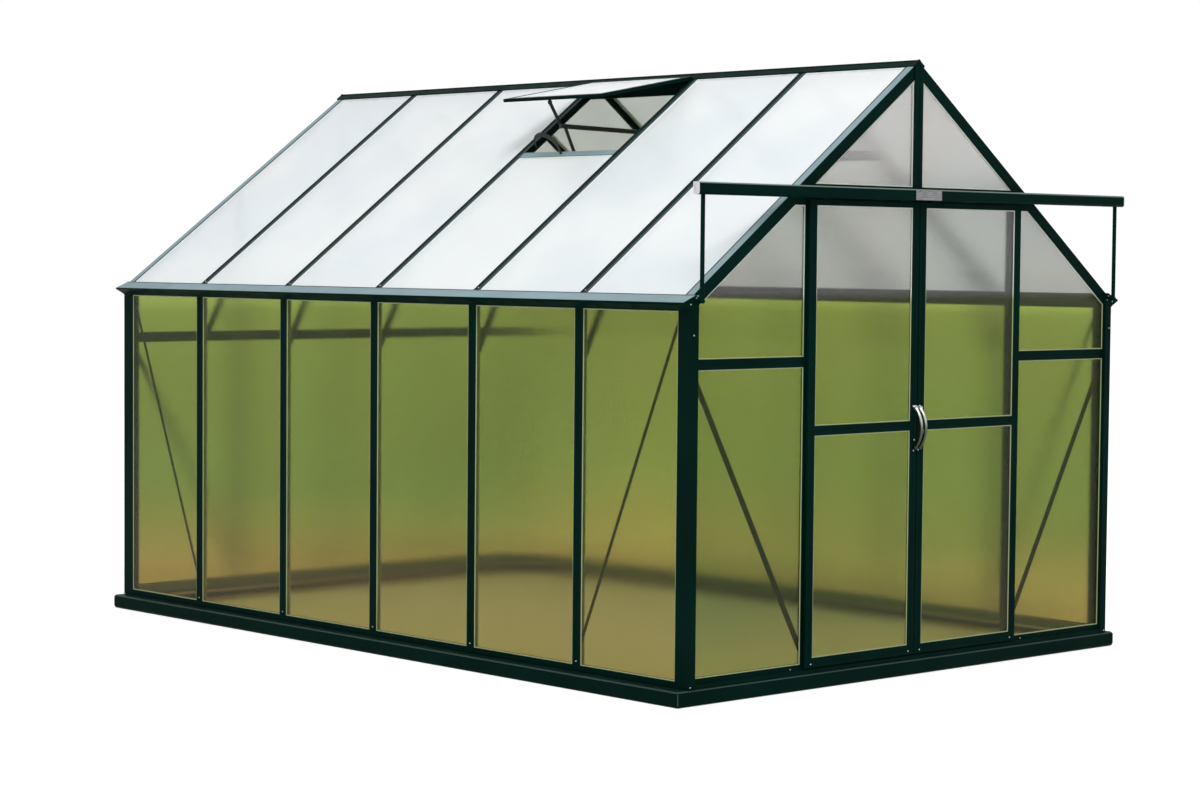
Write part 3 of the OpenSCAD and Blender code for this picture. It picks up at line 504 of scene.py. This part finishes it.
# handles and their tabs carry the painted reflection
handle_metal = painted_reflection_metal("handle_metal", HANDLE_REFLECTIONS, 0.16, 0.32)
plate_metal = metal_material("plate_metal", (0.12, 0.13, 0.13), (0.42, 0.43, 0.43), ALONG_X, 0.3, 0.45)
bright_trim = metal_material("bright_trim", (0.6, 0.61, 0.62), (0.82, 0.83, 0.84), ALONG_X, 0.2, 0.36)
steel = metal_material("screw_steel", (0.55, 0.56, 0.57), (0.75, 0.76, 0.78), EVEN, 0.22, 0.4)
dark_plastic = plastic_material("dark_plastic", (0.002, 0.0035, 0.0035), (0.005, 0.007, 0.007), 0.42, 700.0)
roof_seal = plastic_material("roof_seal", (0.72, 0.77, 0.79), (0.82, 0.86, 0.88), 0.5, 500.0)
gasket = plastic_material("gasket", (0.003, 0.006, 0.006), (0.008, 0.012, 0.012), 0.5, 500.0)
wall_seal = seal_material("wall_seal", SEAL_COLOURS, 0.5, 500.0)

# Looks of the frame's own pieces

SLOTS = {
    "frame_coat": frame_coat, "base_coat": base_coat, "wall_sheet": wall_sheet,
    "roof_sheet": roof_sheet, "bright_trim": bright_trim, "dark_plastic": dark_plastic,
}
LOOKS = (
    (sky_sheen_coat, ("gable_rafters", "eave_gutters", "gutter_ends", "vent_sills")),
    (sill_coat, ("side_sills", "gable_sills")),
    (post_coat, ("left_side_posts", "right_side_posts")),
    (back_coat, ("back_gable_posts",)),
    (bar_coat, ("left_roof_bars", "right_roof_bars")),
    (rail_coat, ("door_rail",)),
    (gable_sheet, ("front_gable_panes", "back_gable_panes", "left_door_panes", "right_door_panes")),
    (far_roof_sheet, ("right_roof_panes", "right_vent_pane")),
    (handle_metal, ("left_door_handle", "right_door_handle")),
    (plate_metal, ("rail_plate",)),
)
EDGED = ("frame_coat", "base_coat", "bright_trim")
EDGE_R = 0.0011
EDGE_STEPS = 2
EDGE_ANGLE = math.radians(50)
WELD_GAP = 0.00002

look_of = {name: material for material, names in LOOKS for name in names}
for part in frame["record"]["subparts"]:
    node = nodes[part["node"]]
    node.data.materials.clear()
    node.data.materials.append(look_of.get(part["node"], SLOTS[part["material_slot"]]))
    if part["material_slot"] in EDGED:
        weld = node.modifiers.new("weld", "WELD")
        weld.merge_threshold = WELD_GAP
        edge = node.modifiers.new("edge", "BEVEL")
        edge.width = EDGE_R
        edge.segments = EDGE_STEPS
        edge.limit_method = "ANGLE"
        edge.angle_limit = EDGE_ANGLE
        edge.harden_normals = True

# Making pieces

SMOOTH_ANGLE = math.radians(40)
BEAD_SECTION = [(0.0, 0.0), (0.0, 0.8), (0.3, 1.0), (0.7, 1.0), (1.0, 0.6), (1.0, 0.0)]
BEAD_W = 0.004
BEAD_H = 0.003
SCREW_SECTION = [
    (1.0, 0.0), (1.0, 0.2), (0.94, 0.26), (0.7, 0.3), (0.68, 0.6), (0.56, 0.88), (0.36, 1.0), (0.32, 0.62),
]
SOCKET_FLOOR = 0.56
SCREW_STEPS = 14


def make_piece(bm, name, material, body, smooth=False):
    """Turns a mesh into a piece that rides on a body."""
    bmesh.ops.recalc_face_normals(bm, faces=bm.faces)
    mesh = bpy.data.meshes.new(name)
    bm.to_mesh(mesh)
    bm.free()
    mesh.materials.append(material)
    if smooth:
        mesh.shade_smooth()
        mesh.set_sharp_from_angle(angle=SMOOTH_ANGLE)
    piece = bpy.data.objects.new(name, mesh)
    scene.collection.objects.link(piece)
    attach(piece, body)


def bead_ring(bm, at, across, normal, width, height):
    """One section of a bead."""
    return [bm.verts.new(at + across * u * width + normal * v * height) for u, v in BEAD_SECTION]


def join_rings(bm, a, b):
    """Faces between two closed rings of as many points."""
    for k in range(len(a)):
        n = (k + 1) % len(a)
        bm.faces.new((a[k], a[n], b[n], b[k]))


def bead_loop(bm, corners, normal, width=BEAD_W, height=BEAD_H):
    """Mitred closed bead along the inner side of a flat ring of corners."""
    count = len(corners)
    area = sum((corners[i - 1].cross(corners[i]) for i in range(count)), Vector())
    if area.dot(normal) < 0:
        corners = corners[::-1]
    rings = []
    for i, corner in enumerate(corners):
        before = (corner - corners[i - 1]).normalized()
        after = (corners[(i + 1) % count] - corner).normalized()
        side_a = normal.cross(before)
        side_b = normal.cross(after)
        mitre = (side_a + side_b) / (1.0 + side_a.dot(side_b))
        rings.append(bead_ring(bm, corner, mitre, normal, width, height))
    for i in range(count):
        join_rings(bm, rings[i], rings[(i + 1) % count])


def bead_run(bm, a, b, across, normal, width, height):
    """Straight closed bead from one point to another."""
    first = bead_ring(bm, a, across, normal, width, height)
    last = bead_ring(bm, b, across, normal, width, height)
    join_rings(bm, first, last)
    bm.faces.new(first[::-1])
    bm.faces.new(last)


def add_screw(bm, at, normal, radius, height):
    """Domed screw with a washer and a socket, standing on a face."""
    turn = UP.rotation_difference(normal).to_matrix()
    rings = []
    for r, h in SCREW_SECTION:
        ring = []
        for k in range(SCREW_STEPS):
            angle = 2 * math.pi * k / SCREW_STEPS
            local = Vector((r * radius * math.cos(angle), r * radius * math.sin(angle), h * height))
            ring.append(bm.verts.new(at + turn @ local))
        rings.append(ring)
    tip = bm.verts.new(at + turn @ Vector((0.0, 0.0, SOCKET_FLOOR * height)))
    bm.faces.new(rings[0][::-1])
    for a, b in zip(rings, rings[1:]):
        join_rings(bm, a, b)
    last = rings[-1]
    for k in range(SCREW_STEPS):
        bm.faces.new((last[k], last[(k + 1) % SCREW_STEPS], tip))


# Planes of the house: each turns two coordinates in its face into a place


def side_point(side, y, z, n=0.0):
    """On the posts' outer faces; n stands proud of them."""
    return Vector((side * (HALF_W + n), y, z))


def gable_point(end, x, z, n=0.0):
    """On the gable frame's outer face; end is -1 in front and 1 at the back."""
    return Vector((x, end * (GABLE_Y + n), z))


def door_point(x, z, n=0.0):
    """On the doors' outer face."""
    return Vector((x, -DOOR_FACE - n, z))


def slope_point(side, u, y, n=0.0):
    """On a roof slope, u down from the apex."""
    x = u * math.cos(PITCH) + n * math.sin(PITCH)
    z = APEX_H - u * math.sin(PITCH) + n * math.cos(PITCH)
    return Vector((side * x, y, z))


def slope_normal(side):
    return Vector((side * math.sin(PITCH), 0.0, math.cos(PITCH)))


def flap_point(side, angle, d, y, n):
    """On a vent flap, d from its hinge line and n above its underside."""
    u = FLAP_U + d * math.cos(angle) - n * math.sin(angle)
    return slope_point(side, u, y, FIT + d * math.sin(angle) + n * math.cos(angle))


def flap_normal(side, angle):
    return (flap_point(side, angle, 0.0, 0.0, 1.0) - flap_point(side, angle, 0.0, 0.0, 0.0)).normalized()


def rafter_z(x):
    """Height of the gable rafters' lower edge."""
    return APEX_H - RAFTER_D / math.cos(PITCH) - abs(x) * math.tan(PITCH)


def rafter_x(z):
    return (APEX_H - RAFTER_D / math.cos(PITCH) - z) / math.tan(PITCH)


def box_ring(place, a0, a1, b0, b1):
    return [place(a0, b0), place(a1, b0), place(a1, b1), place(a0, b1)]


def bays_between(end, cap):
    """Clear widths between the bars, from one end of the house to the other."""
    starts = [-end] + [y + cap / 2 for y in POST_YS]
    stops = [y - cap / 2 for y in POST_YS] + [end]
    return list(zip(starts, stops))


# Seals round the sheets of the side walls

for side, word in SIDES:
    bm = bmesh.new()
    for y0, y1 in bays_between(HALF_L - CORNER_L, POST_CAP):
        ring = box_ring(lambda y, z: side_point(side, y, z, -PANE_N), y0, y1, SIDE_SILL_Z, EAVE_Z)
        bead_loop(bm, ring, Vector((side, 0.0, 0.0)))
    make_piece(bm, f"{word}_wall_seals", wall_seal, "house")

# Seals round the sheets of the roof and its vents

VENT_BAYS = {-1: 3, 1: 2}
VENT_ANGLES = {-1: VENT_OPEN, 1: 0.0}
FLAP_FACE = CAP_T + FIT + PANE_T
FLAP_HALF = FLAP_W / 2 - VENT_BAR

for side, word in SIDES:
    bm = bmesh.new()
    for k, (y0, y1) in enumerate(bays_between(GABLE_Y - RAFTER_TOP, ROOF_CAP), start=1):
        top = VENT_L + SILL_CAP if k == VENT_BAYS[side] else RIDGE_WING
        ring = box_ring(lambda u, y: slope_point(side, u, y, -PANE_N), top, SLOPE_L - FIT, y0, y1)
        bead_loop(bm, ring, slope_normal(side))
    make_piece(bm, f"{word}_roof_seals", roof_seal, "house")

    bm = bmesh.new()
    angle = VENT_ANGLES[side]
    middle = (VENT_BAYS[side] - 0.5 - BAYS / 2) * BAY
    ring = box_ring(lambda d, y: flap_point(side, angle, d, y, FLAP_FACE),
                    VENT_BAR, FLAP_L - VENT_BAR, middle - FLAP_HALF, middle + FLAP_HALF)
    bead_loop(bm, ring, flap_normal(side, angle))
    make_piece(bm, f"{word}_vent_seal", roof_seal, "house")

# Seals round the sheets of the gables

POST_EDGES = {-1: GABLE_POST_X + DOOR_POST_CAP / 2, 1: GABLE_POST_X + GABLE_CAP / 2}
POST_INNER = GABLE_POST_X - GABLE_CAP / 2
KING_EDGE = GABLE_CAP / 2
RAIL_LOW = MID_RAIL_Z - MID_RAIL_H / 2
RAIL_HIGH = MID_RAIL_Z + MID_RAIL_H / 2
HEADER_TOP = HEADER_Z + HEADER_H


def below_rail(x0, x1):
    return [(x0, GABLE_SILL_Z), (x1, GABLE_SILL_Z), (x1, RAIL_LOW), (x0, RAIL_LOW)]


def above_rail(x0, x1):
    return [(x0, RAIL_HIGH), (x1, RAIL_HIGH), (x1, rafter_z(x1)), (x0, rafter_z(x0))]


for end, word in ENDS:
    bm = bmesh.new()
    post = POST_EDGES[end]
    outlines = [below_rail(post, INNER_X)]
    if end < 0:
        outlines.append([(post, RAIL_HIGH), (INNER_X, RAIL_HIGH), (INNER_X, rafter_z(INNER_X)),
                         (rafter_x(HEADER_Z), HEADER_Z), (post, HEADER_Z)])
        outlines.append([(KING_EDGE, HEADER_TOP), (rafter_x(HEADER_TOP), HEADER_TOP),
                         (KING_EDGE, rafter_z(KING_EDGE))])
    else:
        outlines.append(above_rail(post, INNER_X))
        outlines.append(below_rail(KING_EDGE, POST_INNER))
        outlines.append(above_rail(KING_EDGE, POST_INNER))
    for outline in outlines:
        for side in (-1, 1):
            ring = [gable_point(end, side * x, z, -PANE_N) for x, z in outline]
            bead_loop(bm, ring, Vector((0.0, end, 0.0)))
    make_piece(bm, f"{word}_gable_seals", wall_seal, "house")

# Seals round the sheets of the doors

for side, word in SIDES:
    bm = bmesh.new()
    low = (DOOR_Z0 + DOOR_BOTTOM_RAIL, DOOR_MID_Z - DOOR_MID_RAIL / 2)
    high = (DOOR_MID_Z + DOOR_MID_RAIL / 2, DOOR_Z1 - DOOR_TOP_RAIL)
    for z0, z1 in (low, high):
        ring = box_ring(lambda x, z: door_point(side * x, z, -PANE_N),
                        DOOR_X0 + STILE_W, DOOR_X1 - STILE_W, z0, z1)
        bead_loop(bm, ring, FRONT)
    make_piece(bm, f"{word}_door_seals", wall_seal, f"{word}_door")

# Dark lines on the rafters' flanges and along the gutters

GASKET_W = 0.005
GASKET_H = 0.0012
LIP_FALL = 0.3

for side, word in SIDES:
    bm = bmesh.new()
    for end in (-1, 1):
        y = end * (GABLE_Y - RAFTER_TOP)
        flange = [slope_point(side, u, y) for u in (RIDGE_WING, SLOPE_L - FIT)]
        bead_run(bm, *flange, Vector((0.0, end, 0.0)), slope_normal(side), GASKET_W, GASKET_H)
    lip = [Vector((side * (EAVE_X + FIT), end * HALF_L, EAVE_H - FIT)) for end in (-1, 1)]
    bead_run(bm, *lip, Vector((side, 0.0, -LIP_FALL)).normalized(), UP, GASKET_W, GASKET_H)
    make_piece(bm, f"{word}_roof_gaskets", gasket, "house")

# Weld seams down the base's corners, coloured lighter than the coat as a painted highlight

SEAM_W = 0.003

bm = bmesh.new()
for side in (-1, 1):
    for end in (-1, 1):
        out = Vector((side, end, 0.0)).normalized()
        across = Vector((-out.y, out.x, 0.0))
        foot = Vector((side * BASE_X, end * HALF_L, BASE_R)) - across * SEAM_W / 2 - out * SEAM_W / 2
        bead_run(bm, foot, foot + UP * (BASE_H - 2 * BASE_R), across, out, SEAM_W, SEAM_W)
make_piece(bm, "base_seams", seam_highlight_coat, "house")

# Screws, each kind with its radius and its height

BAR_SCREW = (0.003, 0.0025)
FACE_SCREW = (0.0028, 0.0022)
DOOR_SCREW = (0.003, 0.002)
HANDLE_SCREW = (0.0032, 0.0025)
SCREW_END = 0.014
CORNER_SCREWS = [(1.209, 1.33), (1.199, 1.462), (1.192, 1.447), (1.227, 1.44), (1.21, 0.07)]
SILL_SCREWS = (0.57, 0.675)

bm = bmesh.new()
for side in (-1, 1):
    for y in POST_YS:
        foot = side_point(side, y, SIDE_SILL_Z + SCREW_END)
        add_screw(bm, foot, Vector((side, 0.0, 0.0)), *BAR_SCREW)
        add_screw(bm, slope_point(side, SLOPE_L - SCREW_END, y), slope_normal(side), *BAR_SCREW)
    for end in (-1, 1):
        facing = Vector((0.0, end, 0.0))
        for x, z in CORNER_SCREWS:
            add_screw(bm, Vector((side * x, end * HALF_L, z)), facing, *FACE_SCREW)
        for x in SILL_SCREWS:
            add_screw(bm, gable_point(end, side * x, GABLE_SILL_Z - SCREW_END), facing, *FACE_SCREW)
make_piece(bm, "house_screws", steel, "house", smooth=True)

# Screws of the doors and the handles' upper tabs

HANDLE_SCREWS = {"left": [(-0.016, 0.913), (-0.019, 0.872)], "right": [(0.009, 0.874)]}
HANDLE_TABS = {"left": (-0.029, -0.005), "right": (0.006, 0.017)}
TAB_Z = 1.04
TAB_W = 0.006
TAB_H = 0.003

for side, word in SIDES:
    bm = bmesh.new()
    for x in (DOOR_X0 + STILE_W - SCREW_END / 2, DOOR_X1 - STILE_W + SCREW_END / 2):
        add_screw(bm, door_point(side * x, DOOR_Z0 + SCREW_END), FRONT, *DOOR_SCREW)
    for x, z in HANDLE_SCREWS[word]:
        add_screw(bm, door_point(x, z), FRONT, *HANDLE_SCREW)
    make_piece(bm, f"{word}_door_screws", steel, f"{word}_door", smooth=True)

    bm = bmesh.new()
    tab = [door_point(x, TAB_Z) for x in HANDLE_TABS[word]]
    bead_run(bm, *tab, UP, FRONT, TAB_W, TAB_H)
    make_piece(bm, f"{word}_handle_tab", handle_metal, f"{word}_door")

# Raised border and rivets of the plate on the rail

BORDER_W = 0.003
BORDER_H = 0.001
RIVET = (0.003, 0.0015)
RIVET_END = 0.009
PLATE_Y = -RAIL_FRONT - PLATE_T

bm = bmesh.new()
ring = box_ring(lambda x, z: Vector((x, PLATE_Y, z)), -PLATE_W / 2, PLATE_W / 2,
                RAIL_Z + PLATE_EDGE, RAIL_Z + RAIL_H - PLATE_EDGE)
bead_loop(bm, ring, FRONT, BORDER_W, BORDER_H)
for side in (-1, 1):
    at = Vector((side * (PLATE_W / 2 - RIVET_END), PLATE_Y, RAIL_Z + RAIL_H / 2))
    add_screw(bm, at, FRONT, *RIVET)
make_piece(bm, "plate_border", plate_metal, "house")

# Floor

FLOOR_HALF = 60.0
FLOOR_Z = -0.001
FLOOR_GREY = (0.9, 0.9, 0.9)
FLOOR_ROUGH = 0.9
FLOOR_LIFT = 0.4

bm = bmesh.new()
bm.faces.new([bm.verts.new((x * FLOOR_HALF, y * FLOOR_HALF, FLOOR_Z))
              for x, y in ((-1, -1), (1, -1), (1, 1), (-1, 1))])
floor_mesh = bpy.data.meshes.new("floor")
bm.to_mesh(floor_mesh)
bm.free()
floor = bpy.data.objects.new("floor", floor_mesh)
scene.collection.objects.link(floor)

floor_material, tree, shader = new_material("floor", FLOOR_GREY, FLOOR_ROUGH)
shader.inputs["Emission Color"].default_value = (*WHITE, 1.0)
rays = tree.nodes.new("ShaderNodeLightPath")
lift = calc(tree, "MULTIPLY", rays.outputs["Is Camera Ray"], FLOOR_LIFT)
tree.links.new(lift, shader.inputs["Emission Strength"])
floor_mesh.materials.append(floor_material)

# Light

WORLD_LEVEL = 0.72
KEY_AT = Vector((-6.0, -7.0, 11.0))
KEY_TARGET = Vector((0.0, 0.0, 1.0))
KEY_SIZE = 6.0
KEY_POWER = 850.0

world = bpy.data.worlds.new("studio")
scene.world = world
world.use_nodes = True
tree = world.node_tree
background = tree.nodes["Background"]
background.inputs["Color"].default_value = (*WHITE, 1.0)
rays = tree.nodes.new("ShaderNodeLightPath")
seen = rays.outputs["Is Camera Ray"]
for kind in ("Is Glossy Ray", "Is Transmission Ray"):
    seen = calc(tree, "MAXIMUM", seen, rays.outputs[kind])
level = tree.nodes.new("ShaderNodeMapRange")
level.inputs["To Min"].default_value = WORLD_LEVEL
level.inputs["To Max"].default_value = 1.0
tree.links.new(seen, level.inputs["Value"])
tree.links.new(level.outputs["Result"], background.inputs["Strength"])

lamp = bpy.data.lights.new("key", "AREA")
lamp.shape = "DISK"
lamp.size = KEY_SIZE
lamp.energy = KEY_POWER
holder = bpy.data.objects.new("key", lamp)
holder.location = KEY_AT
holder.rotation_euler = (KEY_TARGET - KEY_AT).to_track_quat("-Z", "Y").to_euler()
scene.collection.objects.link(holder)

# Camera

FOCAL_PX = 2762.95
PHOTO_W = 1200
SENSOR_W = 36.0
CLIP_END = 500.0
YAW = math.radians(42.7567)
TILT = math.radians(-2.9857)
ROLL = math.radians(0.5114)
CAMERA_AT = Vector((-8.1141, -8.8029, 1.6096))

ahead = Vector((math.sin(YAW) * math.cos(TILT), math.cos(YAW) * math.cos(TILT), math.sin(TILT)))
level_right = Vector((math.cos(YAW), -math.sin(YAW), 0.0))
level_up = level_right.cross(ahead)
camera_right = level_right * math.cos(ROLL) + level_up * math.sin(ROLL)
camera_up = level_up * math.cos(ROLL) - level_right * math.sin(ROLL)
lens = bpy.data.cameras.new("camera")
lens.sensor_width = SENSOR_W
lens.lens = FOCAL_PX * SENSOR_W / PHOTO_W
lens.clip_end = CLIP_END
camera = bpy.data.objects.new("camera", lens)
turn = Matrix((camera_right, camera_up, -ahead)).transposed().to_4x4()
camera.matrix_world = Matrix.Translation(CAMERA_AT) @ turn
scene.collection.objects.link(camera)
scene.camera = camera
scene.view_settings.view_transform = "Standard"
